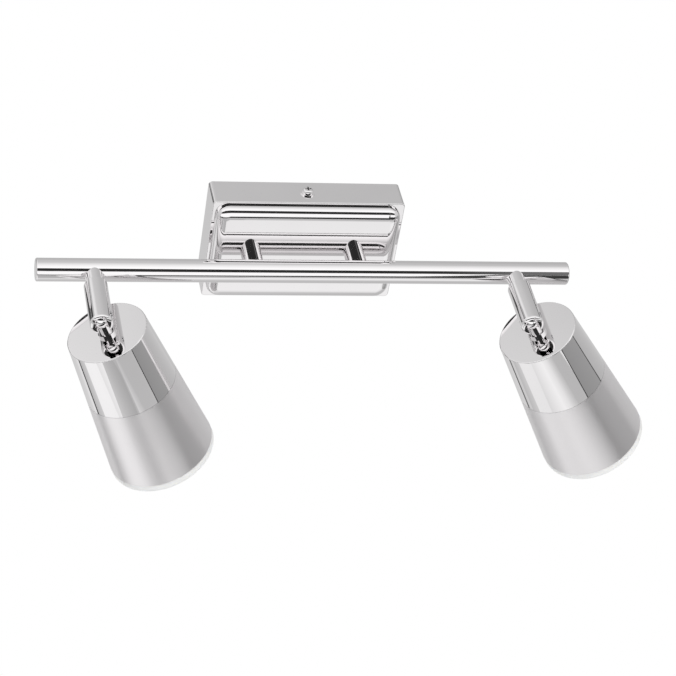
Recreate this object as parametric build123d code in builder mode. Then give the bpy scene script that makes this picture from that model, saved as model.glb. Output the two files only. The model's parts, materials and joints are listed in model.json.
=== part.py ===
from build123d import *

# Pivoting spotlight wall light: two LED heads on a round bar, carried by a shallow canopy.
# Frame: origin on the wall at the canopy's centre, +X along the bar, -Y into the room, +Z up.
# All sizes are in millimetres and all angles in degrees.

import os
from collections import namedtuple
from math import cos, radians, sin, sqrt

# ---------------------------------------------------------------- driving dimensions
# Canopy cover
CANOPY_WIDTH = 126.0
CANOPY_HEIGHT = 76.0
CANOPY_DEPTH = 28.5
CANOPY_SHEET = 1.0
CORNER_RADIUS = 2.5  # corners of the outline on the wall
RIM_EDGE = 0.6  # crisp edge between the sides and the rim round the raised panel
RIM_WIDTH = 2.2
PANEL_RISE = 6.5  # of the panel's face over the rim
PANEL_CORNER = 9.0
PANEL_ROLL = 7.5  # of the panel's edge, seen from the front
ROLL_FLATNESS = 0.72  # depth of that roll over its width

# Wall bracket
BRACKET_SHEET = 1.5
BRACKET_WIDTH = 100.0
BRACKET_HEIGHT = 46.0
BRACKET_CORNER = 5.0
STRAP_WIDTH = 18.0
EAR_DEPTH = 18.0
EAR_GAP = 0.1  # between an ear and the cover's inner face
SLOT_SPACING = 70.0
SLOT_LENGTH = 12.0
SLOT_WIDTH = 5.0
CABLE_HOLE = 13.0

# Cable bush
BUSH_FLANGE = 18.0
BUSH_FLANGE_THICKNESS = 1.5
BUSH_BORE = 8.0

# Canopy screws, through the cover into the bracket's ears
SCREW_FROM_WALL = 11.0
SCREW_DIAMETER = 4.0
SCREW_LENGTH = 8.0
SCREW_HEAD = 7.2
SCREW_HEAD_HEIGHT = 2.4
SCREW_HEAD_ROUND = 1.9  # of the dome at the head's edge
SCREW_WASHER = 9.5
SCREW_WASHER_THICKNESS = 0.8
SCREW_HOLE_CLEARANCE = 0.2
RECESS_WIDTH = 1.0
RECESS_LENGTH = 4.2
RECESS_DEPTH = 1.4

# Electrical parts behind the cover
DRIVER_LENGTH = 88.0
DRIVER_HEIGHT = 19.0
DRIVER_DEPTH = 18.0
DRIVER_RISE = 9.5  # from the canopy's centre up to the driver's underside
DRIVER_CHAMFER = 1.5
TERMINAL_LENGTH = 26.0
TERMINAL_HEIGHT = 15.0
TERMINAL_DEPTH = 13.0
TERMINAL_DROP = 13.0  # from the canopy's centre down to the block's top
TERMINAL_WAYS = 3
TERMINAL_WIRE_HOLE = 3.4
TERMINAL_SCREW = 3.2
TERMINAL_SCREW_LENGTH = 5.0
EARTH_X = 41.0
EARTH_Z = -15.0
EARTH_SCREW_HEAD = 7.0
EARTH_SCREW_HEAD_HEIGHT = 2.5
EARTH_WASHER = 9.0
EARTH_WASHER_THICKNESS = 0.8

# Posts between canopy and bar
POST_DIAMETER = 13.4
POST_SPACING = 68.5
POST_NIPPLE = 10.0
POST_NIPPLE_BORE = 6.0
POST_NIPPLE_GRIP = 4.5  # nipple length inside the post
POST_NIPPLE_TAIL = 6.5  # nipple length behind the cover's sheet
POST_HOLE_CLEARANCE = 0.1
POST_WASHER = 16.0
POST_WASHER_THICKNESS = 0.8
POST_NUT_FLATS = 14.0
POST_NUT_THICKNESS = 3.0

# Bar
BAR_LENGTH = 350.0
BAR_DIAMETER = 15.0
BAR_WALL = 1.0
BAR_STANDOFF = 14.5  # from the canopy's front face to the bar's axis
BAR_DROP = 1.5  # from the canopy's centre down to the bar's axis
BAR_WIRE_HOLE = 6.0
CAP_FLANGE = 2.4
CAP_EDGE = 1.1
CAP_PLUG_LENGTH = 6.0
CAP_PLUG_CLEARANCE = 0.05
CAP_PLUG_WALL = 1.2

# Collar and swivel at the root of each arm
ARM_SPACING = 277.0
COLLAR_DIAMETER = 11.5
COLLAR_REACH = 16.0  # from the bar's axis to the joint line
NIPPLE_DIAMETER = 8.0
NIPPLE_BORE = 5.0
NIPPLE_CLEARANCE = 0.05
NIPPLE_GRIP = 11.0  # nipple length inside the arm
SADDLE_DIAMETER = 10.4
SADDLE_SEAT = 3.0  # from the bar's axis to the saddle washer's flat
SWIVEL_NUT_FLATS = 9.0
SWIVEL_NUT_THICKNESS = 3.0
SWIVEL_GAP = 0.05  # running gap on each side of the swivel

# Arm
ARM_DIAMETER = 15.0
ARM_REAR_CHAMFER = 0.4
PIN_REACH = 50.0  # from the bar's axis to the knuckle's pin
NOSE_REACH = 6.0  # from the pin to the arm's front end
NOSE_EDGE = 2.4
LEAD_BORE = 5.0
KNUCKLE_SLOT_GAP = 0.15  # on each side of the knuckle
KNUCKLE_BALL_GAP = 0.4  # around the knuckle's ball

# Knuckle
BALL_DIAMETER = 10.8
KNUCKLE_THICKNESS = 7.6
STEM_DIAMETER = 7.2
KNUCKLE_COLLAR = 12.0
KNUCKLE_COLLAR_THICKNESS = 2.0
KNUCKLE_THREAD = 10.0
KNUCKLE_THREAD_LENGTH = 7.0
KNUCKLE_BORE = 4.0
PIN_DIAMETER = 3.5
PIN_CLEARANCE = 0.05
PIN_HEAD = 6.0
PIN_SUNK = 0.15  # of the pivot screw's head under the arm's round surface

# Head
HEAD_OFFSET = 11.2  # from the pin to the head's flat top
HEAD_TOP_DIAMETER = 52.0
HEAD_MOUTH_DIAMETER = 70.0
HEAD_LENGTH = 105.5
HEAD_WALL = 1.2
HEAD_TOP_THICKNESS = 1.6
HEAD_EDGE = 0.7
HEAD_CAP_LENGTH = 46.0  # polished part, from the flat top to the seam
SEAM_GAP = 0.15
SEAM_SPIGOT = 8.0
SPIGOT_CLEARANCE = 0.1
HEAD_HOLE_CLEARANCE = 0.1
HEAD_WASHER = 17.0
HEAD_WASHER_THICKNESS = 0.8
HEAD_NUT_FLATS = 14.0
HEAD_NUT_THICKNESS = 3.0

# Lamp inside the head, measured from the head's flat top
LEDGE_PLACE = 64.0
LEDGE_WIDTH = 3.0
LEDGE_THICKNESS = 2.0
SINK_CLEARANCE = 0.15
SINK_THICKNESS = 4.0
FIN_COUNT = 10
FIN_LENGTH = 15.0
FIN_THICKNESS = 1.6
FIN_HEIGHT = 13.0
BOARD_DIAMETER = 46.0
BOARD_THICKNESS = 1.6
CHIP_COUNT = 6
CHIP_SIZE = 3.5
CHIP_HEIGHT = 0.7
CHIP_CIRCLE_DIAMETER = 16.0
BOARD_SCREW_CIRCLE_DIAMETER = 36.0
BOARD_SCREW = 3.0
BOARD_SCREW_HEAD = 5.4
BOARD_SCREW_HEAD_HEIGHT = 1.8
BOARD_SCREW_GRIP = 3.0
REFLECTOR_THROAT = 26.0
REFLECTOR_WALL = 1.0
REFLECTOR_CLEARANCE = 0.3
DIFFUSER_PROUD = 5.5
DIFFUSER_INSET = 0.3  # of the opal ring from the metal's edge
DIFFUSER_FACE = 2.0
DIFFUSER_WALL = 2.0
DIFFUSER_EDGE = 1.6
DIFFUSER_SPIGOT = 7.0

# Pose of the arms and heads at rest
BEND = 91.0  # of each head from straight ahead
SWIVEL_LEFT = 24.0  # of the left head from hanging, towards +X
SWIVEL_RIGHT = 32.0

# ---------------------------------------------------------------- derived places
FORWARD = (0, -1, 0)
BAR_Y = -(CANOPY_DEPTH + BAR_STANDOFF)
BAR_Z = -BAR_DROP
BAR_RADIUS = BAR_DIAMETER / 2
BAR_BORE_RADIUS = BAR_RADIUS - BAR_WALL
TUBE_LENGTH = BAR_LENGTH - 2 * CAP_FLANGE
KNUCKLE_SLOT = KNUCKLE_THICKNESS + 2 * KNUCKLE_SLOT_GAP
SLOT_RADIUS = BALL_DIAMETER / 2 + KNUCKLE_BALL_GAP

Side = namedtuple("Side", "name arm head")


def make_side(name, direction, swivel):
    """Frames of one arm and head: arm along its axis from the bar, head along its axis from the pin.

    X is the pin's axis in both, and the arm's Y points away from the side the head hangs on.
    """
    pin_axis = Vector(cos(radians(swivel)), 0, sin(radians(swivel)))
    hang = Vector(sin(radians(swivel)), 0, -cos(radians(swivel)))
    root = Vector(direction * ARM_SPACING / 2, BAR_Y, BAR_Z)
    ahead = Vector(*FORWARD)
    head_axis = ahead * cos(radians(BEND)) + hang * sin(radians(BEND))
    arm = Plane(origin=root, x_dir=pin_axis, z_dir=ahead)
    head = Plane(origin=root + ahead * PIN_REACH, x_dir=pin_axis, z_dir=head_axis)
    return Side(name, arm, head)


SIDES = (make_side("left", -1, SWIVEL_LEFT), make_side("right", 1, SWIVEL_RIGHT))


def front_plane(distance=0.0, x=0.0, z=0.0):
    """Plane facing the room, a distance in front of the wall."""
    return Plane(origin=(x, -distance, z), x_dir=(1, 0, 0), z_dir=FORWARD)


def profile_plane(frame):
    """Plane through a frame's axis: sketch X is the radius, sketch Y runs along the axis."""
    return Plane(origin=frame.origin, x_dir=frame.x_dir, z_dir=-frame.y_dir)


def axis_of(frame):
    return Axis(frame.origin, frame.z_dir)


def cut_cross(place):
    """Cut a cross slot into a screw head, from its top inwards."""
    with BuildSketch(place) as cross:
        Rectangle(RECESS_LENGTH, RECESS_WIDTH)
        Rectangle(RECESS_WIDTH, RECESS_LENGTH)
    extrude(cross.sketch, amount=-RECESS_DEPTH, mode=Mode.SUBTRACT)


def turn(frame, points, mode=Mode.ADD):
    """Turn a closed outline of (radius, distance along the frame's axis) into the current part."""
    with BuildSketch(profile_plane(frame)) as outline:
        with BuildLine():
            Polyline(*points, close=True)
        make_face()
    revolve(outline.sketch, axis=axis_of(frame), mode=mode)


def cross_bar(origin, radius, mode):
    """Cut, or keep, a round of the bar's axis across a piece that stands on the bar."""
    with BuildSketch(Plane(origin=origin - Vector(BAR_DIAMETER, 0, 0), z_dir=(1, 0, 0))) as section:
        Circle(radius)
    extrude(section.sketch, amount=2 * BAR_DIAMETER, mode=mode)


def write(part, label):
    part.label = label
    export_step(part, f"parts/{label}.step")


os.makedirs("parts", exist_ok=True)


# ---------------------------------------------------------------- canopy
def canopy_block(inset):
    """Outer form of the canopy, or its hollow when inset by the sheet: a box and a raised panel."""
    width = CANOPY_WIDTH - 2 * inset
    height = CANOPY_HEIGHT - 2 * inset
    with BuildPart() as box:
        with BuildSketch(front_plane()):
            RectangleRounded(width, height, CORNER_RADIUS - inset)
        extrude(amount=CANOPY_DEPTH - PANEL_RISE - inset)
        fillet(box.faces().sort_by(Axis.Y)[0].edges(), RIM_EDGE)
    # The panel's round edge is flattened towards the wall into an elliptic roll.
    with BuildPart() as panel:
        with BuildSketch(front_plane()):
            RectangleRounded(width - 2 * RIM_WIDTH, height - 2 * RIM_WIDTH, PANEL_CORNER - inset)
        extrude(amount=(CANOPY_DEPTH - inset) / ROLL_FLATNESS)
        fillet(panel.faces().sort_by(Axis.Y)[0].edges(), PANEL_ROLL - inset)
    return box.part + scale(panel.part, by=(1, ROLL_FLATNESS, 1))


SCREW_PLACES = (
    Plane(origin=(0, -SCREW_FROM_WALL, CANOPY_HEIGHT / 2), z_dir=(0, 0, 1)),
    Plane(origin=(0, -SCREW_FROM_WALL, -CANOPY_HEIGHT / 2), z_dir=(0, 0, -1)),
)
POST_XS = (-POST_SPACING / 2, POST_SPACING / 2)

cover_outside = canopy_block(0)
cover_hollow = canopy_block(CANOPY_SHEET)

with BuildPart() as canopy_cover:
    add(cover_outside)
    add(cover_hollow, mode=Mode.SUBTRACT)
    for screw_place in SCREW_PLACES:
        with BuildSketch(screw_place):
            Circle(SCREW_DIAMETER / 2 + SCREW_HOLE_CLEARANCE)
        extrude(amount=-CANOPY_SHEET, mode=Mode.SUBTRACT)
    for post_x in POST_XS:
        with BuildSketch(front_plane(CANOPY_DEPTH, post_x, BAR_Z)):
            Circle(POST_NIPPLE / 2 + POST_HOLE_CLEARANCE)
        extrude(amount=-CANOPY_SHEET, mode=Mode.SUBTRACT)
write(canopy_cover.part, "canopy_cover")

# Flat strap with a centre tongue up and down, and an ear bent forward at each end of it.
EAR_TOP = CANOPY_HEIGHT / 2 - CANOPY_SHEET - EAR_GAP

with BuildPart() as wall_bracket:
    with BuildSketch(front_plane()) as strap:
        RectangleRounded(BRACKET_WIDTH, BRACKET_HEIGHT, BRACKET_CORNER)
        Rectangle(STRAP_WIDTH, 2 * EAR_TOP)
        with Locations((-SLOT_SPACING / 2, 0), (SLOT_SPACING / 2, 0)):
            SlotOverall(SLOT_LENGTH, SLOT_WIDTH, mode=Mode.SUBTRACT)
        Circle(CABLE_HOLE / 2, mode=Mode.SUBTRACT)
        with Locations((EARTH_X, EARTH_Z)):
            Circle(SCREW_DIAMETER / 2, mode=Mode.SUBTRACT)
    extrude(amount=BRACKET_SHEET)
    with BuildSketch(front_plane()):
        with Locations((0, EAR_TOP - BRACKET_SHEET / 2), (0, -EAR_TOP + BRACKET_SHEET / 2)):
            Rectangle(STRAP_WIDTH, BRACKET_SHEET)
    extrude(amount=EAR_DEPTH)
    fillet(
        wall_bracket.edges().filter_by(Axis.X).group_by(Axis.Y)[-1].group_by(Axis.Z)[0]
        + wall_bracket.edges().filter_by(Axis.X).group_by(Axis.Y)[-1].group_by(Axis.Z)[-1],
        BRACKET_SHEET / 4,
    )
    for screw_place in SCREW_PLACES:
        with BuildSketch(screw_place):
            Circle(SCREW_DIAMETER / 2)
        extrude(amount=-CANOPY_SHEET - EAR_GAP - BRACKET_SHEET, mode=Mode.SUBTRACT)
write(wall_bracket.part, "wall_bracket")

with BuildPart() as canopy_screw_washers:
    for screw_place in SCREW_PLACES:
        with BuildSketch(screw_place):
            Circle(SCREW_WASHER / 2)
            Circle(SCREW_DIAMETER / 2, mode=Mode.SUBTRACT)
        extrude(amount=SCREW_WASHER_THICKNESS)
write(canopy_screw_washers.part, "canopy_screw_washers")

with BuildPart() as canopy_screws:
    for screw_place in SCREW_PLACES:
        seat = screw_place.offset(SCREW_WASHER_THICKNESS)
        with BuildSketch(seat):
            Circle(SCREW_HEAD / 2)
        extrude(amount=SCREW_HEAD_HEIGHT)
        head_rims = canopy_screws.edges().filter_by(GeomType.CIRCLE)
        fillet(head_rims.sort_by(axis_of(screw_place))[-1], SCREW_HEAD_ROUND)
        with BuildSketch(seat):
            Circle(SCREW_DIAMETER / 2)
        extrude(amount=-SCREW_LENGTH)
        cut_cross(seat.offset(SCREW_HEAD_HEIGHT))
write(canopy_screws.part, "canopy_screws")

with BuildPart() as cable_bush:
    with BuildSketch(front_plane()):
        Circle(CABLE_HOLE / 2)
    extrude(amount=BRACKET_SHEET)
    with BuildSketch(front_plane(BRACKET_SHEET)):
        Circle(BUSH_FLANGE / 2)
    extrude(amount=BUSH_FLANGE_THICKNESS)
    with BuildSketch(front_plane()):
        Circle(BUSH_BORE / 2)
    extrude(amount=BRACKET_SHEET + BUSH_FLANGE_THICKNESS, mode=Mode.SUBTRACT)
write(cable_bush.part, "cable_bush")

with BuildPart() as led_driver:
    with BuildSketch(front_plane(BRACKET_SHEET, 0, DRIVER_RISE + DRIVER_HEIGHT / 2)):
        Rectangle(DRIVER_LENGTH, DRIVER_HEIGHT)
    extrude(amount=DRIVER_DEPTH)
    chamfer(led_driver.faces().sort_by(Axis.Y)[0].edges(), DRIVER_CHAMFER)
write(led_driver.part, "led_driver")

TERMINAL_Z = -TERMINAL_DROP - TERMINAL_HEIGHT / 2
TERMINAL_PITCH = TERMINAL_LENGTH / TERMINAL_WAYS
TERMINAL_XS = [TERMINAL_PITCH * (way - (TERMINAL_WAYS - 1) / 2) for way in range(TERMINAL_WAYS)]
TERMINAL_SCREW_ZS = (TERMINAL_Z - TERMINAL_HEIGHT / 4, TERMINAL_Z + TERMINAL_HEIGHT / 4)
TERMINAL_FRONT = BRACKET_SHEET + TERMINAL_DEPTH

with BuildPart() as terminal_block:
    with BuildSketch(front_plane(BRACKET_SHEET, 0, TERMINAL_Z)):
        Rectangle(TERMINAL_LENGTH, TERMINAL_HEIGHT)
    extrude(amount=TERMINAL_DEPTH)
    # Grooves between the ways, wire holes through them and a screw well at each end.
    with BuildSketch(front_plane(TERMINAL_FRONT, 0, TERMINAL_Z)):
        with GridLocations(TERMINAL_PITCH, 1, TERMINAL_WAYS - 1, 1):
            Rectangle(TERMINAL_PITCH / 4, TERMINAL_HEIGHT)
    extrude(amount=-TERMINAL_DEPTH / 2, mode=Mode.SUBTRACT)
    for terminal_x in TERMINAL_XS:
        wire_row = Plane(
            origin=(terminal_x, -BRACKET_SHEET - TERMINAL_DEPTH / 3, -TERMINAL_DROP),
            z_dir=(0, 0, 1),
        )
        with BuildSketch(wire_row):
            Circle(TERMINAL_WIRE_HOLE / 2)
        extrude(amount=-TERMINAL_HEIGHT, mode=Mode.SUBTRACT)
        for screw_z in TERMINAL_SCREW_ZS:
            with BuildSketch(front_plane(TERMINAL_FRONT, terminal_x, screw_z)):
                Circle(TERMINAL_SCREW / 2)
            extrude(amount=-TERMINAL_SCREW_LENGTH, mode=Mode.SUBTRACT)
write(terminal_block.part, "terminal_block")

with BuildPart() as terminal_screws:
    for terminal_x in TERMINAL_XS:
        for screw_z in TERMINAL_SCREW_ZS:
            with BuildSketch(front_plane(TERMINAL_FRONT, terminal_x, screw_z)):
                Circle(TERMINAL_SCREW / 2)
            extrude(amount=-TERMINAL_SCREW_LENGTH)
write(terminal_screws.part, "terminal_screws")

with BuildPart() as earth_screw:
    with BuildSketch(front_plane(0, EARTH_X, EARTH_Z)):
        Circle(SCREW_DIAMETER / 2)
    extrude(amount=BRACKET_SHEET)
    with BuildSketch(front_plane(BRACKET_SHEET, EARTH_X, EARTH_Z)):
        Circle(EARTH_WASHER / 2)
    extrude(amount=EARTH_WASHER_THICKNESS)
    with BuildSketch(front_plane(BRACKET_SHEET + EARTH_WASHER_THICKNESS, EARTH_X, EARTH_Z)):
        Circle(EARTH_SCREW_HEAD / 2)
    extrude(amount=EARTH_SCREW_HEAD_HEIGHT)
    cut_cross(
        front_plane(
            BRACKET_SHEET + EARTH_WASHER_THICKNESS + EARTH_SCREW_HEAD_HEIGHT, EARTH_X, EARTH_Z
        )
    )
write(earth_screw.part, "earth_screw")

# ---------------------------------------------------------------- posts
for side_name, post_x in zip(("left", "right"), POST_XS):
    with BuildPart() as post:
        with BuildSketch(front_plane(CANOPY_DEPTH, post_x, BAR_Z)):
            Circle(POST_DIAMETER / 2)
        extrude(amount=BAR_STANDOFF)
        with BuildSketch(front_plane(CANOPY_DEPTH, post_x, BAR_Z)):
            Circle(POST_NIPPLE / 2)
        extrude(amount=POST_NIPPLE_GRIP, mode=Mode.SUBTRACT)
        with BuildSketch(front_plane(CANOPY_DEPTH, post_x, BAR_Z)):
            Circle(BAR_WIRE_HOLE / 2)
        extrude(amount=BAR_STANDOFF, mode=Mode.SUBTRACT)
        # Saddle end: the bar's own round, cut across the post.
        cross_bar(Vector(post_x, BAR_Y, BAR_Z), BAR_RADIUS, Mode.SUBTRACT)
    write(post.part, f"post_{side_name}")

COVER_INSIDE = CANOPY_DEPTH - CANOPY_SHEET

with BuildPart() as post_nipples:
    for post_x in POST_XS:
        with BuildSketch(front_plane(COVER_INSIDE - POST_NIPPLE_TAIL, post_x, BAR_Z)):
            Circle(POST_NIPPLE / 2)
            Circle(POST_NIPPLE_BORE / 2, mode=Mode.SUBTRACT)
        extrude(amount=POST_NIPPLE_TAIL + CANOPY_SHEET + POST_NIPPLE_GRIP)
write(post_nipples.part, "post_nipples")

with BuildPart() as post_washers:
    for post_x in POST_XS:
        with BuildSketch(front_plane(COVER_INSIDE, post_x, BAR_Z)):
            Circle(POST_WASHER / 2)
            Circle(POST_NIPPLE / 2, mode=Mode.SUBTRACT)
        extrude(amount=-POST_WASHER_THICKNESS)
write(post_washers.part, "post_washers")

with BuildPart() as post_nuts:
    for post_x in POST_XS:
        with BuildSketch(front_plane(COVER_INSIDE - POST_WASHER_THICKNESS, post_x, BAR_Z)):
            RegularPolygon(POST_NUT_FLATS / 2, 6, major_radius=False)
            Circle(POST_NIPPLE / 2, mode=Mode.SUBTRACT)
        extrude(amount=-POST_NUT_THICKNESS)
write(post_nuts.part, "post_nuts")

# ---------------------------------------------------------------- bar
BAR_START = Plane(origin=(-TUBE_LENGTH / 2, BAR_Y, BAR_Z), z_dir=(1, 0, 0))
ARM_XS = (-ARM_SPACING / 2, ARM_SPACING / 2)

with BuildPart() as bar_tube:
    with BuildSketch(BAR_START):
        Circle(BAR_RADIUS)
        Circle(BAR_BORE_RADIUS, mode=Mode.SUBTRACT)
    extrude(amount=TUBE_LENGTH)
    for post_x in POST_XS:
        with BuildSketch(front_plane(-BAR_Y, post_x, BAR_Z)):
            Circle(BAR_WIRE_HOLE / 2)
        extrude(amount=-BAR_RADIUS, mode=Mode.SUBTRACT)
    for arm_x in ARM_XS:
        with BuildSketch(front_plane(-BAR_Y, arm_x, BAR_Z)):
            Circle(NIPPLE_DIAMETER / 2 + NIPPLE_CLEARANCE)
        extrude(amount=BAR_RADIUS, mode=Mode.SUBTRACT)
write(bar_tube.part, "bar_tube")

for side_name, outward in (("left", -1), ("right", 1)):
    cap_frame = Plane(
        origin=(outward * TUBE_LENGTH / 2, BAR_Y, BAR_Z), x_dir=(0, 0, 1), z_dir=(outward, 0, 0)
    )
    plug_radius = BAR_BORE_RADIUS - CAP_PLUG_CLEARANCE
    with BuildPart() as end_cap:
        with BuildSketch(cap_frame):
            Circle(BAR_RADIUS)
        extrude(amount=CAP_FLANGE)
        fillet(end_cap.edges().sort_by(axis_of(cap_frame))[-1], CAP_EDGE)
        with BuildSketch(cap_frame):
            Circle(plug_radius)
            Circle(plug_radius - CAP_PLUG_WALL, mode=Mode.SUBTRACT)
        extrude(amount=-CAP_PLUG_LENGTH)
    write(end_cap.part, f"end_cap_{side_name}")


# ---------------------------------------------------------------- swivel and arm
def write_swivel(side):
    arm = side.arm
    with BuildPart() as collar:
        with BuildSketch(arm):
            Circle(COLLAR_DIAMETER / 2)
            Circle(NIPPLE_DIAMETER / 2 + NIPPLE_CLEARANCE, mode=Mode.SUBTRACT)
        extrude(amount=COLLAR_REACH)
        cross_bar(arm.origin, BAR_RADIUS, Mode.SUBTRACT)
    write(collar.part, f"collar_{side.name}")

    # Flat towards the nut, round towards the bar's bore.
    with BuildPart() as saddle:
        with BuildSketch(arm.offset(SADDLE_SEAT)):
            Circle(SADDLE_DIAMETER / 2)
            Circle(NIPPLE_DIAMETER / 2 + NIPPLE_CLEARANCE, mode=Mode.SUBTRACT)
        extrude(amount=BAR_RADIUS)
        cross_bar(arm.origin, BAR_BORE_RADIUS, Mode.INTERSECT)
    write(saddle.part, f"saddle_washer_{side.name}")

    nut_front = SADDLE_SEAT - SWIVEL_GAP
    nut_back = nut_front - SWIVEL_NUT_THICKNESS
    with BuildPart() as nipple:
        with BuildSketch(arm.offset(nut_back)):
            Circle(NIPPLE_DIAMETER / 2)
            Circle(NIPPLE_BORE / 2, mode=Mode.SUBTRACT)
        extrude(amount=COLLAR_REACH + SWIVEL_GAP + NIPPLE_GRIP - nut_back)
    write(nipple.part, f"swivel_nipple_{side.name}")

    with BuildPart() as nut:
        with BuildSketch(arm.offset(nut_back)):
            RegularPolygon(SWIVEL_NUT_FLATS / 2, 6, major_radius=False)
            Circle(NIPPLE_DIAMETER / 2, mode=Mode.SUBTRACT)
        extrude(amount=SWIVEL_NUT_THICKNESS)
    write(nut.part, f"swivel_nut_{side.name}")


# The pivot screw ends just under the arm's round surface, with a countersunk head at one end.
PIN_HALF_LENGTH = sqrt((ARM_DIAMETER / 2) ** 2 - (PIN_HEAD / 2) ** 2) - PIN_SUNK
PIN_SINK_START = PIN_HALF_LENGTH - (PIN_HEAD - PIN_DIAMETER) / 2
PIN_SINK = (
    (0, PIN_HALF_LENGTH),
    (PIN_HEAD / 2, PIN_HALF_LENGTH),
    (PIN_DIAMETER / 2, PIN_SINK_START),
    (0, PIN_SINK_START),
)


def write_arm(side):
    arm = side.arm
    rear = COLLAR_REACH + SWIVEL_GAP
    pin_place = arm.origin + arm.z_dir * PIN_REACH
    # In the slot's plane sketch X runs ahead along the arm, sketch Y away from the hanging head.
    slot_plane = Plane(origin=pin_place, x_dir=arm.z_dir, z_dir=-arm.x_dir)
    pin_frame = Plane(origin=pin_place, x_dir=arm.z_dir, z_dir=arm.x_dir)
    with BuildPart() as arm_part:
        with BuildSketch(arm.offset(rear)):
            Circle(ARM_DIAMETER / 2)
        extrude(amount=PIN_REACH + NOSE_REACH - rear)
        rims = arm_part.edges().sort_by(axis_of(arm))
        chamfer(rims[0], ARM_REAR_CHAMFER)
        fillet(rims[-1], NOSE_EDGE)
        with BuildSketch(arm.offset(rear)):
            Circle(NIPPLE_DIAMETER / 2)
        extrude(amount=NIPPLE_GRIP, mode=Mode.SUBTRACT)
        with BuildSketch(arm.offset(rear)):
            Circle(LEAD_BORE / 2)
        extrude(amount=PIN_REACH - rear, mode=Mode.SUBTRACT)
        # Slot, open ahead and on the side the head hangs, closed by a lip on the other side.
        with BuildSketch(slot_plane):
            Circle(SLOT_RADIUS)
            with Locations((0, -SLOT_RADIUS)):
                Rectangle(ARM_DIAMETER, 2 * SLOT_RADIUS, align=(Align.MIN, Align.MIN))
            with Locations((-SLOT_RADIUS, -ARM_DIAMETER)):
                Rectangle(ARM_DIAMETER * 2, ARM_DIAMETER, align=(Align.MIN, Align.MIN))
        extrude(amount=KNUCKLE_SLOT / 2, both=True, mode=Mode.SUBTRACT)
        with BuildSketch(slot_plane):
            Circle(PIN_DIAMETER / 2)
        extrude(amount=ARM_DIAMETER, both=True, mode=Mode.SUBTRACT)
        turn(pin_frame, PIN_SINK, Mode.SUBTRACT)
        with BuildSketch(pin_frame.offset(PIN_HALF_LENGTH)):
            Circle(PIN_HEAD / 2)
        extrude(amount=ARM_DIAMETER, mode=Mode.SUBTRACT)
    write(arm_part.part, f"arm_{side.name}")

    with BuildPart() as screw:
        with BuildSketch(slot_plane):
            Circle(PIN_DIAMETER / 2)
        extrude(amount=PIN_HALF_LENGTH, both=True)
        turn(pin_frame, PIN_SINK)
    write(screw.part, f"pivot_screw_{side.name}")


def write_knuckle(side):
    """Ball with two flats on a short stem, a collar that seats on the head and a hollow thread."""
    head = side.head
    seat = HEAD_OFFSET - KNUCKLE_COLLAR_THICKNESS
    with BuildPart() as knuckle:
        with BuildSketch(profile_plane(head)) as half_ball:
            Circle(BALL_DIAMETER / 2)
            with Locations((-BALL_DIAMETER / 2, 0)):
                Rectangle(BALL_DIAMETER, BALL_DIAMETER, mode=Mode.SUBTRACT)
        revolve(axis=axis_of(head))
        with BuildSketch(head.offset(-BALL_DIAMETER)):
            Rectangle(KNUCKLE_THICKNESS, 2 * BALL_DIAMETER)
        extrude(amount=2 * BALL_DIAMETER, mode=Mode.INTERSECT)
        with BuildSketch(head):
            Circle(STEM_DIAMETER / 2)
        extrude(amount=HEAD_OFFSET)
        with BuildSketch(head.offset(seat)):
            Circle(KNUCKLE_COLLAR / 2)
        extrude(amount=KNUCKLE_COLLAR_THICKNESS)
        with BuildSketch(head.offset(HEAD_OFFSET)):
            Circle(KNUCKLE_THREAD / 2)
        extrude(amount=KNUCKLE_THREAD_LENGTH)
        # Pin hole across, and the leads' way up the thread and out behind the ball.
        pin_start = Plane(head.origin, x_dir=head.z_dir, z_dir=head.x_dir)
        with BuildSketch(pin_start):
            Circle(PIN_DIAMETER / 2 + PIN_CLEARANCE)
        extrude(amount=KNUCKLE_THICKNESS, both=True, mode=Mode.SUBTRACT)
        with BuildSketch(head.offset(HEAD_OFFSET + KNUCKLE_THREAD_LENGTH)):
            Circle(KNUCKLE_BORE / 2)
        extrude(amount=-KNUCKLE_THREAD_LENGTH - KNUCKLE_COLLAR_THICKNESS - KNUCKLE_BORE / 2,
                mode=Mode.SUBTRACT)
        lead_exit = head.origin + head.z_dir * (seat - KNUCKLE_BORE / 2)
        with BuildSketch(Plane(lead_exit, x_dir=head.x_dir, z_dir=-head.y_dir)):
            Circle(KNUCKLE_BORE / 2)
        extrude(amount=STEM_DIAMETER, mode=Mode.SUBTRACT)
    write(knuckle.part, f"knuckle_{side.name}")


# ---------------------------------------------------------------- head
HALF_TAPER = (HEAD_MOUTH_DIAMETER - HEAD_TOP_DIAMETER) / 2 / HEAD_LENGTH
WALL_ACROSS = HEAD_WALL * sqrt(1 + HALF_TAPER**2)


def outer_radius(place):
    """Outer radius of the head at a distance from its flat top."""
    return HEAD_TOP_DIAMETER / 2 + HALF_TAPER * place


def inner_radius(place):
    return outer_radius(place) - WALL_ACROSS


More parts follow.
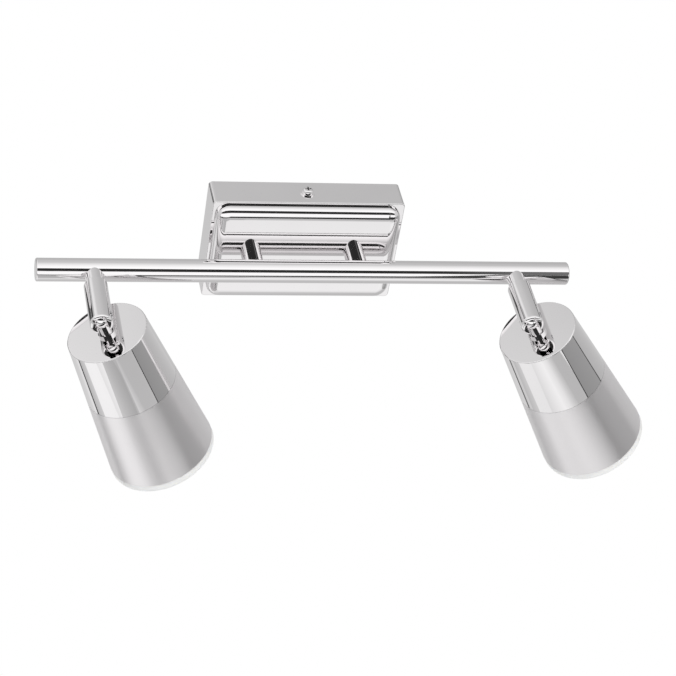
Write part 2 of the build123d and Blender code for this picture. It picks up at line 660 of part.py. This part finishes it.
def write_shells(side):
    top = side.head.offset(HEAD_OFFSET)
    hole = KNUCKLE_THREAD / 2 + HEAD_HOLE_CLEARANCE
    cap_outline = (
        (hole, 0),
        (outer_radius(0), 0),
        (outer_radius(HEAD_CAP_LENGTH), HEAD_CAP_LENGTH),
        (inner_radius(HEAD_CAP_LENGTH), HEAD_CAP_LENGTH),
        (inner_radius(HEAD_TOP_THICKNESS), HEAD_TOP_THICKNESS),
        (hole, HEAD_TOP_THICKNESS),
    )
    with BuildPart() as cap:
        turn(top, cap_outline)
        top_rims = cap.faces().sort_by(axis_of(top))[0].edges().sort_by(SortBy.LENGTH)
        fillet(top_rims[-1], HEAD_EDGE)
    write(cap.part, f"head_cap_{side.name}")

    spigot_start = HEAD_CAP_LENGTH - SEAM_SPIGOT
    shade_start = HEAD_CAP_LENGTH + SEAM_GAP
    ledge_end = LEDGE_PLACE - LEDGE_THICKNESS
    ledge_radius = inner_radius(LEDGE_PLACE) - LEDGE_WIDTH

    def spigot_radius(place):
        return inner_radius(place) - SPIGOT_CLEARANCE

    shade_outline = (
        (spigot_radius(spigot_start), spigot_start),
        (spigot_radius(shade_start), shade_start),
        (outer_radius(shade_start), shade_start),
        (outer_radius(HEAD_LENGTH), HEAD_LENGTH),
        (inner_radius(HEAD_LENGTH), HEAD_LENGTH),
        (inner_radius(LEDGE_PLACE), LEDGE_PLACE),
        (ledge_radius, LEDGE_PLACE),
        (ledge_radius, ledge_end),
        (spigot_radius(ledge_end) - HEAD_WALL, ledge_end),
        (spigot_radius(spigot_start) - HEAD_WALL, spigot_start),
    )
    with BuildPart() as shade:
        turn(top, shade_outline)
    write(shade.part, f"head_shade_{side.name}")


def write_fixing(side):
    """Washer and nut under the cap's flat top, on the knuckle's thread."""
    under_top = side.head.offset(HEAD_OFFSET + HEAD_TOP_THICKNESS)
    with BuildPart() as washer:
        with BuildSketch(under_top):
            Circle(HEAD_WASHER / 2)
            Circle(KNUCKLE_THREAD / 2, mode=Mode.SUBTRACT)
        extrude(amount=HEAD_WASHER_THICKNESS)
    write(washer.part, f"head_washer_{side.name}")

    with BuildPart() as nut:
        with BuildSketch(under_top.offset(HEAD_WASHER_THICKNESS)):
            RegularPolygon(HEAD_NUT_FLATS / 2, 6, major_radius=False)
            Circle(KNUCKLE_THREAD / 2, mode=Mode.SUBTRACT)
        extrude(amount=HEAD_NUT_THICKNESS)
    write(nut.part, f"head_nut_{side.name}")


SINK_FRONT = LEDGE_PLACE + SINK_THICKNESS
BOARD_FRONT = SINK_FRONT + BOARD_THICKNESS
SINK_RADIUS = inner_radius(LEDGE_PLACE) - SINK_CLEARANCE
FIN_RADIUS = SINK_RADIUS - LEDGE_WIDTH - FIN_LENGTH / 2
DIFFUSER_BACK = HEAD_LENGTH - DIFFUSER_SPIGOT


def write_lamp(side):
    top = side.head.offset(HEAD_OFFSET)
    with BuildPart() as sink:
        with BuildSketch(top.offset(LEDGE_PLACE)):
            Circle(SINK_RADIUS)
        extrude(amount=SINK_THICKNESS)
        with BuildSketch(top.offset(LEDGE_PLACE)):
            with PolarLocations(FIN_RADIUS, FIN_COUNT):
                Rectangle(FIN_LENGTH, FIN_THICKNESS)
        extrude(amount=-FIN_HEIGHT)
        with BuildSketch(top.offset(SINK_FRONT)):
            with PolarLocations(BOARD_SCREW_CIRCLE_DIAMETER / 2, 2):
                Circle(BOARD_SCREW / 2)
        extrude(amount=-BOARD_SCREW_GRIP, mode=Mode.SUBTRACT)
    write(sink.part, f"heat_sink_{side.name}")

    with BuildPart() as board:
        with BuildSketch(top.offset(SINK_FRONT)):
            Circle(BOARD_DIAMETER / 2)
            with PolarLocations(BOARD_SCREW_CIRCLE_DIAMETER / 2, 2):
                Circle(BOARD_SCREW / 2, mode=Mode.SUBTRACT)
        extrude(amount=BOARD_THICKNESS)
        with BuildSketch(top.offset(BOARD_FRONT)):
            with PolarLocations(CHIP_CIRCLE_DIAMETER / 2, CHIP_COUNT):
                Rectangle(CHIP_SIZE, CHIP_SIZE)
        extrude(amount=CHIP_HEIGHT)
    write(board.part, f"led_board_{side.name}")

    with BuildPart() as screws:
        with BuildSketch(top.offset(BOARD_FRONT)):
            with PolarLocations(BOARD_SCREW_CIRCLE_DIAMETER / 2, 2):
                Circle(BOARD_SCREW / 2)
        extrude(amount=-BOARD_THICKNESS - BOARD_SCREW_GRIP)
        with BuildSketch(top.offset(BOARD_FRONT)):
            with PolarLocations(BOARD_SCREW_CIRCLE_DIAMETER / 2, 2):
                Circle(BOARD_SCREW_HEAD / 2)
        extrude(amount=BOARD_SCREW_HEAD_HEIGHT)
    write(screws.part, f"board_screws_{side.name}")

    # Cone from around the chips to the diffuser's spigot.
    throat = REFLECTOR_THROAT / 2
    mouth = inner_radius(DIFFUSER_BACK) - REFLECTOR_CLEARANCE
    reflector_outline = (
        (throat, BOARD_FRONT),
        (throat + REFLECTOR_WALL, BOARD_FRONT),
        (mouth, DIFFUSER_BACK),
        (mouth - REFLECTOR_WALL, DIFFUSER_BACK),
    )
    with BuildPart() as reflector:
        turn(top, reflector_outline)
    write(reflector.part, f"reflector_{side.name}")


def write_diffuser(side):
    """Opal cup: spigot in the shade's mouth, ring proud of it, flat face with a round edge."""
    top = side.head.offset(HEAD_OFFSET)
    ring = outer_radius(HEAD_LENGTH) - DIFFUSER_INSET
    ring_front = ring + HALF_TAPER * DIFFUSER_PROUD
    spigot = inner_radius(DIFFUSER_BACK) - SPIGOT_CLEARANCE
    front = HEAD_LENGTH + DIFFUSER_PROUD
    diffuser_outline = (
        (0, front - DIFFUSER_FACE),
        (0, front),
        (ring_front, front),
        (ring, HEAD_LENGTH),
        (spigot, HEAD_LENGTH),
        (spigot, DIFFUSER_BACK),
        (spigot - DIFFUSER_WALL, DIFFUSER_BACK),
        (spigot - DIFFUSER_WALL, front - DIFFUSER_FACE),
    )
    with BuildPart() as diffuser:
        turn(top, diffuser_outline)
        front_rims = diffuser.edges().filter_by(GeomType.CIRCLE).sort_by(axis_of(top))
        fillet(front_rims[-1], DIFFUSER_EDGE)
    write(diffuser.part, f"diffuser_{side.name}")


for light_side in SIDES:
    write_swivel(light_side)
    write_arm(light_side)
    write_knuckle(light_side)
    write_shells(light_side)
    write_fixing(light_side)
    write_lamp(light_side)
    write_diffuser(light_side)
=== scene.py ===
import json
from math import cos, radians, sin

import bpy
from mathutils import Matrix, Vector

# Looks of a wall light with two spot heads on a bar. The object is in metres: origin on the
# wall at the canopy's centre, +X along the bar, -Y into the room, +Z up.

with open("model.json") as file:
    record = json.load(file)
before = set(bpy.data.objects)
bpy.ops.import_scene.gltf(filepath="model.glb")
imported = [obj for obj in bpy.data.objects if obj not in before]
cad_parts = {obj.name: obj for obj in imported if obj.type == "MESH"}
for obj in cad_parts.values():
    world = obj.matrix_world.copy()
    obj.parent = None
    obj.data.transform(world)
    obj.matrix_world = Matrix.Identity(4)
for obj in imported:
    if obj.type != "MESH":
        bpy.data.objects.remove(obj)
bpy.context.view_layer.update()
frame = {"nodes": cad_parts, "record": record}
NODES = frame["nodes"]

# ---------------------------------------------------------------- camera
CAMERA_PLACE = Vector((-0.3282, -1.2553, 0.9339))
CAMERA_RIGHT = Vector((0.97505, -0.17109, 0.14144))
CAMERA_FORWARD = Vector((0.22198, 0.75501, -0.61699))
CAMERA_FOCAL_SHARE = 3.5918  # focal length over the frame's width
SENSOR_WIDTH = 36.0
CLIP_NEAR = 0.05
CLIP_FAR = 50.0

camera_data = bpy.data.cameras.new("camera")
camera = bpy.data.objects.new("camera", camera_data)
bpy.context.scene.collection.objects.link(camera)
camera_up = CAMERA_RIGHT.cross(CAMERA_FORWARD)
camera.matrix_world = Matrix.Translation(CAMERA_PLACE) @ Matrix(
    (CAMERA_RIGHT, camera_up, -CAMERA_FORWARD)
).transposed().to_4x4()
camera_data.sensor_width = SENSOR_WIDTH
camera_data.lens = SENSOR_WIDTH * CAMERA_FOCAL_SHARE
camera_data.clip_start = CLIP_NEAR
camera_data.clip_end = CLIP_FAR
bpy.context.scene.camera = camera

# ---------------------------------------------------------------- node helpers
# Short names of the shader's sockets that get a fixed value.
SOCKET_NAMES = {
    "metal": "Metallic",
    "rough": "Roughness",
    "subsurface": "Subsurface Weight",
    "subsurface_radius": "Subsurface Radius",
    "subsurface_scale": "Subsurface Scale",
    "glow": "Emission Color",
    "glow_strength": "Emission Strength",
}


class Maker:
    """A new material's node tree, with short calls for the nodes it needs."""

    def __init__(self, name):
        self.material = bpy.data.materials.new(name)
        self.material.use_nodes = True
        self.tree = self.material.node_tree
        self.shader = self.tree.nodes["Principled BSDF"]

    def set(self, **values):
        """Fixed values on the shader's own sockets, by their short names."""
        for name, value in values.items():
            self.shader.inputs[SOCKET_NAMES[name]].default_value = value
        return self

    def link(self, start, end):
        self.tree.links.new(start, end)

    def place(self, stretch=(1, 1, 1)):
        """The object's own coordinates in metres, stretched."""
        coordinates = self.tree.nodes.new("ShaderNodeTexCoord")
        mapping = self.tree.nodes.new("ShaderNodeMapping")
        mapping.inputs["Scale"].default_value = stretch
        self.link(coordinates.outputs["Object"], mapping.inputs["Vector"])
        return mapping.outputs["Vector"]

    def noise(self, vector, scale, detail=2.0, roughness=0.5):
        node = self.tree.nodes.new("ShaderNodeTexNoise")
        node.inputs["Scale"].default_value = scale
        node.inputs["Detail"].default_value = detail
        node.inputs["Roughness"].default_value = roughness
        self.link(vector, node.inputs["Vector"])
        return node.outputs["Fac"]

    def spread(self, value, low, high, start=0.3, end=0.7):
        """Maps a noise value, mostly between start and end, onto low to high."""
        node = self.tree.nodes.new("ShaderNodeMapRange")
        node.inputs["From Min"].default_value = start
        node.inputs["From Max"].default_value = end
        node.inputs["To Min"].default_value = low
        node.inputs["To Max"].default_value = high
        self.link(value, node.inputs["Value"])
        return node.outputs["Result"]

    def ramp(self, value, *stops):
        """Colours along a value: stops are (position, (r, g, b))."""
        node = self.tree.nodes.new("ShaderNodeValToRGB")
        elements = node.color_ramp.elements
        while len(elements) < len(stops):
            elements.new(0.5)  # gets its place below
        for element, (position, color) in zip(elements, stops):
            element.position = position
            element.color = (*color, 1)
        self.link(value, node.inputs["Fac"])
        return node.outputs["Color"]

    def bump(self, height, strength, distance):
        node = self.tree.nodes.new("ShaderNodeBump")
        node.inputs["Strength"].default_value = strength
        node.inputs["Distance"].default_value = distance
        self.link(height, node.inputs["Height"])
        self.link(node.outputs["Normal"], self.shader.inputs["Normal"])

    def color(self, output):
        self.link(output, self.shader.inputs["Base Color"])

    def roughness(self, output):
        self.link(output, self.shader.inputs["Roughness"])


# ---------------------------------------------------------------- materials
def chrome():
    """Polished plating with a trace of ripple and a slight change of tone."""
    made = Maker("chrome").set(metal=1.0)
    place = made.place()
    tone = made.noise(place, scale=35)
    made.color(made.ramp(tone, (0.3, (0.874, 0.860, 0.866)), (0.7, (0.892, 0.878, 0.884))))
    made.roughness(made.spread(made.noise(place, scale=60, detail=4), low=0.02, high=0.045))
    made.bump(made.noise(place, scale=45, detail=1), strength=0.004, distance=0.0004)
    return made.material


def satin_nickel():
    """Satin plating: a fine even grain in tone, gloss and height."""
    made = Maker("satin_nickel").set(metal=1.0)
    grain = made.noise(made.place(), scale=3200, detail=3, roughness=0.7)
    made.color(made.ramp(grain, (0.25, (0.875, 0.856, 0.864)), (0.75, (0.910, 0.891, 0.899))))
    sheen = made.noise(made.place(), scale=1400, detail=2)
    made.roughness(made.spread(sheen, low=0.31, high=0.35))
    made.bump(grain, strength=0.02, distance=0.00002)
    return made.material


def zinc_steel():
    """Zinc plating with its flakes and a yellowish tint in places."""
    made = Maker("zinc_steel").set(metal=1.0)
    flakes = made.noise(made.place(), scale=220, detail=5, roughness=0.6)
    stops = (0.3, (0.55, 0.56, 0.57)), (0.55, (0.66, 0.67, 0.68)), (0.75, (0.70, 0.69, 0.62))
    made.color(made.ramp(flakes, *stops))
    made.roughness(made.spread(flakes, low=0.28, high=0.48))
    made.bump(flakes, strength=0.1, distance=0.0001)
    return made.material


def brass():
    """Turned brass, with its tone drawn out into lines."""
    made = Maker("brass").set(metal=1.0)
    turned = made.noise(made.place((1, 8, 1)), scale=400, detail=3)
    made.color(made.ramp(turned, (0.3, (0.70, 0.52, 0.22)), (0.7, (0.83, 0.66, 0.34))))
    made.roughness(made.spread(turned, low=0.22, high=0.38))
    return made.material


def cast_aluminium():
    """Dull, slightly uneven skin of a casting."""
    made = Maker("cast_aluminium").set(metal=1.0)
    skin = made.noise(made.place(), scale=700, detail=4, roughness=0.6)
    made.color(made.ramp(skin, (0.3, (0.66, 0.66, 0.67)), (0.7, (0.78, 0.78, 0.79))))
    made.roughness(made.spread(skin, low=0.4, high=0.6))
    made.bump(skin, strength=0.25, distance=0.0001)
    return made.material


ROUGH_CHANGE = 0.06  # of a plastic's roughness to each side of its middle


def plastic(name, low, high, rough, scale=900, bump=0.15):
    """Moulded plastic or rubber: fine erosion grain and a little tone in its colour."""
    made = Maker(name)
    grain = made.noise(made.place(), scale, detail=3, roughness=0.6)
    broad = made.noise(made.place(), scale=40, detail=2)
    made.color(made.ramp(broad, (0.35, low), (0.65, high)))
    made.roughness(made.spread(grain, rough - ROUGH_CHANGE, rough + ROUGH_CHANGE))
    made.bump(grain, bump, distance=0.00005)
    return made


def opal():
    """Opal plastic that lets some light in, with a faint even painted glow that lifts it toward
    white.
    """
    low = (0.93, 0.92, 0.89)
    high = (0.95, 0.94, 0.915)
    made = plastic("opal_plastic", low, high, rough=0.34, scale=1500, bump=0.05)
    made.set(subsurface=0.35, subsurface_radius=(1.0, 0.95, 0.85), subsurface_scale=0.004)
    # Painted glow: a faint even emission that brightens the opal toward white, though nothing
    # inside the head is lit.
    made.set(glow=(1.0, 0.98, 0.93, 1), glow_strength=0.12)
    return made.material


# Plain plastics: darker and lighter tone, roughness.
PLASTICS = {
    "bush_rubber": ((0.02, 0.02, 0.02), (0.035, 0.035, 0.035), 0.62),
    "driver_plastic": ((0.80, 0.80, 0.78), (0.84, 0.84, 0.82), 0.5),
    "terminal_plastic": ((0.74, 0.73, 0.67), (0.79, 0.78, 0.72), 0.42),
    "board_white": ((0.84, 0.84, 0.83), (0.88, 0.88, 0.87), 0.22),
    "reflector_white": ((0.88, 0.88, 0.88), (0.91, 0.91, 0.91), 0.3),
}
MATERIALS = {
    "chrome": chrome(),
    "satin_nickel": satin_nickel(),
    "zinc_steel": zinc_steel(),
    "brass": brass(),
    "aluminium": cast_aluminium(),
    "opal_plastic": opal(),
}
for slot, tones_and_rough in PLASTICS.items():
    MATERIALS[slot] = plastic(slot, *tones_and_rough).material
for part in frame["record"]["subparts"]:
    mesh = NODES[part["node"]].data
    mesh.materials.clear()
    mesh.materials.append(MATERIALS[part["material_slot"]])

# ---------------------------------------------------------------- studio
WORLD_COLOR = (0.95, 0.97, 1.0, 1)
WORLD_STRENGTH = 0.55
BACKDROP_COLOR = (1, 1, 1, 1)
BACKDROP_STRENGTH = 1.0
FLOOR_HEIGHT = -1.6
FLOOR_HALF = 6.0

LAMP_TARGET = Vector((0, -0.08, -0.04))
# Lamps: place, width and height in metres, power in watts.
LAMPS = {
    "key": ((-0.9, -1.3, 1.6), (1.6, 1.2), 15),
    "fill": ((1.4, -1.2, 0.5), (1.4, 1.4), 6),
}

CARD_CENTRE = Vector((0, -0.043, -0.0015))  # on the bar's axis
CARD_STEPS = 24  # quads along each card's turn
FAR = 2.6
WIDE = (-4.0, 4.0)
# Cards round the object that shine in its metal only. Each is part of a round about the bar:
# radius, turn from and to in degrees (0 is straight into the room, 90 up, 180 the wall), its
# reach along the bar, and its brightness where the turn starts and where it ends. A pair of
# values is for the card's left and right side.
CARDS = {
    "card_wall": (FAR, -200, -164, WIDE, (0.54, 0.50), (0.52, 0.50)),
    "card_wall_low": (FAR, -164, -115, WIDE, (0.52, 0.56), (0.80, 0.62)),
    "card_line_left": (FAR, -107, -103, (-4.0, -0.9), 0.06, 0.06),
    "card_line_low": (FAR, -115, -107, (-4.0, -0.9), 0.80, 0.85),
    "card_line_right": (FAR, -115, -111, (-0.9, -0.2), (0.06, 0.20), (0.06, 0.20)),
    "card_line_high": (FAR, -111, -103, (-0.9, -0.2), (0.70, 0.60), (0.70, 0.60)),
    "card_floor_back": (FAR, -115, -103, (-0.2, 4.0), (0.62, 0.60), (0.60, 0.58)),
    "card_floor_left": (FAR, -103, -60, (-4.0, -0.6), (0.50, 0.55), (0.98, 0.86)),
    "card_floor": (FAR, -103, -60, (-0.6, 0.8), (0.55, 0.52), (0.86, 0.58)),
    "card_floor_right": (FAR, -103, -60, (0.8, 4.0), 0.52, 0.58),
    "card_front_low": (FAR, -60, -40, WIDE, (0.86, 0.70), (1.00, 0.98)),
    "card_front_mid": (FAR, -40, -34, WIDE, (1.00, 0.98), (0.88, 0.86)),
    "card_front_soft_left": (FAR, -34, -27, (-4.0, 0.45), (0.56, 0.54), 0.50),
    "card_front_soft": (FAR, -34, -27, (0.45, 4.0), (0.88, 0.80), (0.56, 0.60)),
    "card_front_grey": (FAR, -27, -19, WIDE, (0.50, 0.56), (0.48, 0.54)),
    "card_front_line_left": (FAR, -18, -11, (-4.0, 0.1), 0.03, 0.03),
    "card_front_line": (FAR, -18, (-11, -3), (0.1, 0.74), 0.03, 0.03),
    "card_front_line_wide": (FAR, -18, (-3, 19), (0.74, 0.90), 0.03, (0.03, 0.10)),
    "card_front_line_end": (FAR, -18, 19, (0.90, 1.1), 0.03, (0.10, 0.05)),
    "card_front_line_right": (FAR, -18, 3, (1.1, 4.0), 0.03, 0.03),
    "card_front_left": (FAR, -10, 20, (-4.0, 0.1), 1.09, 1.12),
    "card_front": (FAR, (-10, -2), (20, 23), (0.1, 0.74), 1.09, 1.12),
    "card_front_wedge": (FAR, (-2, 20), (23, 24), (0.74, 0.90), 1.09, 1.12),
    "card_front_right": (FAR, 4, 24, (1.1, 4.0), 1.09, 1.12),
    "card_gap_left": (FAR, (22, 24.4), 51, (-4.0, 0.8), 0.04, (0.01, 0.02)),
    "card_gap": (FAR, (24.4, 20), 51, (0.8, 0.92), (0.04, 0.14), (0.02, 0.16)),
    "card_gap_end": (FAR, 20, 51, (0.92, 1.1), 0.14, (0.16, 0.24)),
    "card_gap_right": (FAR, (25, 26), 51, (1.1, 4.0), 0.04, 0.02),
    "card_top": (FAR, 53, 88, WIDE, 1.20, (1.02, 0.92)),
    "card_ceiling": (FAR, 88, 112, WIDE, (1.02, 0.90), (0.84, 0.58)),
    "card_ceiling_back_left": (FAR, 112, 160, (-4.0, -1.5), 0.92, 0.87),
    "card_ceiling_back_blend": (FAR, 112, 160, (-1.5, -1.0), (0.92, 0.72), (0.87, 0.62)),
    "card_ceiling_back": (FAR, 112, 160, (-1.0, 0.9), (0.72, 0.62), (0.62, 0.50)),
    "card_ceiling_back_right": (FAR, 112, 160, (0.9, 4.0), (0.62, 0.52), 0.50),
    "card_low_lamp": (2.4, -86, -54, (-2.2, -0.4), (1.04, 0.86), (1.12, 0.90)),
    "near_wall_line": (2.5, -169, -147, (-2.2, -1.25), 0.08, 0.08),
    "near_wall_left": (2.5, -189, -172, (-4.0, -1.9), 0.06, 0.06),
    "near_wall_right": (2.5, -189, -172, (1.9, 4.0), 0.06, 0.06),
    "near_left": (0.5, -52, -28, (-0.24, -0.045), (0.70, 0.46), (0.52, 0.44)),
}

# Upright cards to the right of the object, across the bar's line: from and to along Y, and the
# brightness at each.
SIDE_X = 1.75
SIDE_HEIGHTS = (FLOOR_HEIGHT, 0.02)
SIDE_CARDS = {
    "side_edge_front": (-1.42, -1.34, 0.04, 0.04),
    "side": (-1.34, -0.03, 0.31, 0.36),
    "side_edge_back": (-0.03, 0.03, 0.05, 0.05),
    "side_back": (0.03, 2.2, 0.50, 0.64),
}

# Upright cards that close the round at both ends: their place along X.
END_CARDS = {"card_end_left": -4.0, "card_end_right": 4.0}
END_HALF = 2.7
END_GLOWS = (0.46, 0.80)  # brightness at the lower and the upper edge


def new_object(name, vertices, faces, material):
    mesh = bpy.data.meshes.new(name)
    mesh.from_pydata(vertices, [], faces)
    mesh.materials.append(material)
    made = bpy.data.objects.new(name, mesh)
    bpy.context.scene.collection.objects.link(made)
    return made


def either(tree, first, second):
    """1 where at least one of two ray flags is 1."""
    node = tree.nodes.new("ShaderNodeMath")
    node.operation = "MAXIMUM"
    tree.links.new(first, node.inputs[0])
    tree.links.new(second, node.inputs[1])
    return node.outputs[0]


def background(tree, color, strength):
    node = tree.nodes.new("ShaderNodeBackground")
    node.inputs["Color"].default_value = color
    node.inputs["Strength"].default_value = strength
    return node.outputs[0]


def world_light():
    """White where the camera, metal or glass looks, and a softer level as light."""
    world = bpy.data.worlds.new("studio")
    bpy.context.scene.world = world
    world.use_nodes = True
    tree = world.node_tree
    tree.nodes.clear()
    ray = tree.nodes.new("ShaderNodeLightPath").outputs
    seen = either(tree, ray["Is Camera Ray"], ray["Is Glossy Ray"])
    seen = either(tree, seen, ray["Is Transmission Ray"])
    mix = tree.nodes.new("ShaderNodeMixShader")
    output = tree.nodes.new("ShaderNodeOutputWorld")
    tree.links.new(seen, mix.inputs[0])
    tree.links.new(background(tree, WORLD_COLOR, WORLD_STRENGTH), mix.inputs[1])
    tree.links.new(background(tree, BACKDROP_COLOR, BACKDROP_STRENGTH), mix.inputs[2])
    tree.links.new(mix.outputs[0], output.inputs["Surface"])


def card_glow():
    """Plain emission whose strength each card keeps in its mesh."""
    material = bpy.data.materials.new("card_glow")
    material.use_nodes = True
    tree = material.node_tree
    tree.nodes.clear()
    strength = tree.nodes.new("ShaderNodeAttribute")
    strength.attribute_name = "glow"
    glow = tree.nodes.new("ShaderNodeEmission")
    output = tree.nodes.new("ShaderNodeOutputMaterial")
    tree.links.new(strength.outputs["Fac"], glow.inputs["Strength"])
    tree.links.new(glow.outputs[0], output.inputs["Surface"])
    return material


def new_card(name, rows, glows, material):
    """Strip of quads between two sides: rows of (left, right) points, with their brightness."""
    vertices = [point for row in rows for point in row]
    faces = [(2 * i, 2 * i + 1, 2 * i + 3, 2 * i + 2) for i in range(len(rows) - 1)]
    card = new_object(name, vertices, faces, material)
    attribute = card.data.attributes.new("glow", "FLOAT", "POINT")
    attribute.data.foreach_set("value", [glow for row_glows in glows for glow in row_glows])
    card.visible_camera = False
    card.visible_diffuse = False
    card.visible_shadow = False
    card.visible_transmission = False
    card.visible_volume_scatter = False


def pair(value):
    return value if isinstance(value, tuple) else (value, value)


def between(start, end, share):
    """Left and right values at a share of the way from the start pair to the end pair."""
    return [a + (b - a) * share for a, b in zip(pair(start), pair(end))]


def add_arc_card(name, radius, start, end, reach, start_glow, end_glow, material):
    rows = []
    glows = []
    for step in range(CARD_STEPS + 1):
        share = step / CARD_STEPS
        row = []
        for x, angle in zip(reach, between(start, end, share)):
            y = CARD_CENTRE.y - radius * cos(radians(angle))
            z = CARD_CENTRE.z + radius * sin(radians(angle))
            row.append((x, y, z))
        rows.append(row)
        glows.append(between(start_glow, end_glow, share))
    new_card(name, rows, glows, material)


def add_side_card(name, start, end, start_glow, end_glow, material):
    rows = [[(SIDE_X, y, z) for z in SIDE_HEIGHTS] for y in (start, end)]
    new_card(name, rows, [pair(start_glow), pair(end_glow)], material)


def add_end_card(name, x, material):
    rows = [[(x, -END_HALF, z), (x, END_HALF, z)] for z in (-END_HALF, END_HALF)]
    new_card(name, rows, [pair(glow) for glow in END_GLOWS], material)


def add_lamp(name, place, size, power):
    """Soft lamp that the metal doesn't mirror."""
    data = bpy.data.lights.new(name, "AREA")
    data.shape = "RECTANGLE"
    data.size, data.size_y = size
    data.energy = power
    lamp = bpy.data.objects.new(name, data)
    bpy.context.scene.collection.objects.link(lamp)
    lamp.location = place
    lamp.rotation_euler = (LAMP_TARGET - Vector(place)).to_track_quat("-Z", "Y").to_euler()
    lamp.visible_glossy = False


def add_floor():
    """Pale floor, which the camera sees as the white of the backdrop."""
    made = Maker("floor_paint").set(rough=0.8)
    tone = made.noise(made.place(), scale=3, detail=3)
    made.color(made.ramp(tone, (0.3, (0.90, 0.90, 0.90)), (0.7, (0.92, 0.92, 0.92))))
    ray = made.tree.nodes.new("ShaderNodeLightPath")
    white = made.tree.nodes.new("ShaderNodeEmission")
    mix = made.tree.nodes.new("ShaderNodeMixShader")
    made.link(ray.outputs["Is Camera Ray"], mix.inputs[0])
    made.link(made.shader.outputs[0], mix.inputs[1])
    made.link(white.outputs[0], mix.inputs[2])
    made.link(mix.outputs[0], made.tree.nodes["Material Output"].inputs["Surface"])
    signs = ((-1, -1), (1, -1), (1, 1), (-1, 1))
    corners = [(x * FLOOR_HALF, y * FLOOR_HALF, FLOOR_HEIGHT) for x, y in signs]
    floor = new_object("floor", corners, [(0, 1, 2, 3)], made.material)
    floor.visible_glossy = False


world_light()
card_material = card_glow()
for card_name, card_values in CARDS.items():
    add_arc_card(card_name, *card_values, card_material)
for card_name, card_values in SIDE_CARDS.items():
    add_side_card(card_name, *card_values, card_material)
for card_name, card_x in END_CARDS.items():
    add_end_card(card_name, card_x, card_material)
for lamp_name, lamp_values in LAMPS.items():
    add_lamp(lamp_name, *lamp_values)
add_floor()
bpy.context.scene.view_settings.view_transform = "Standard"
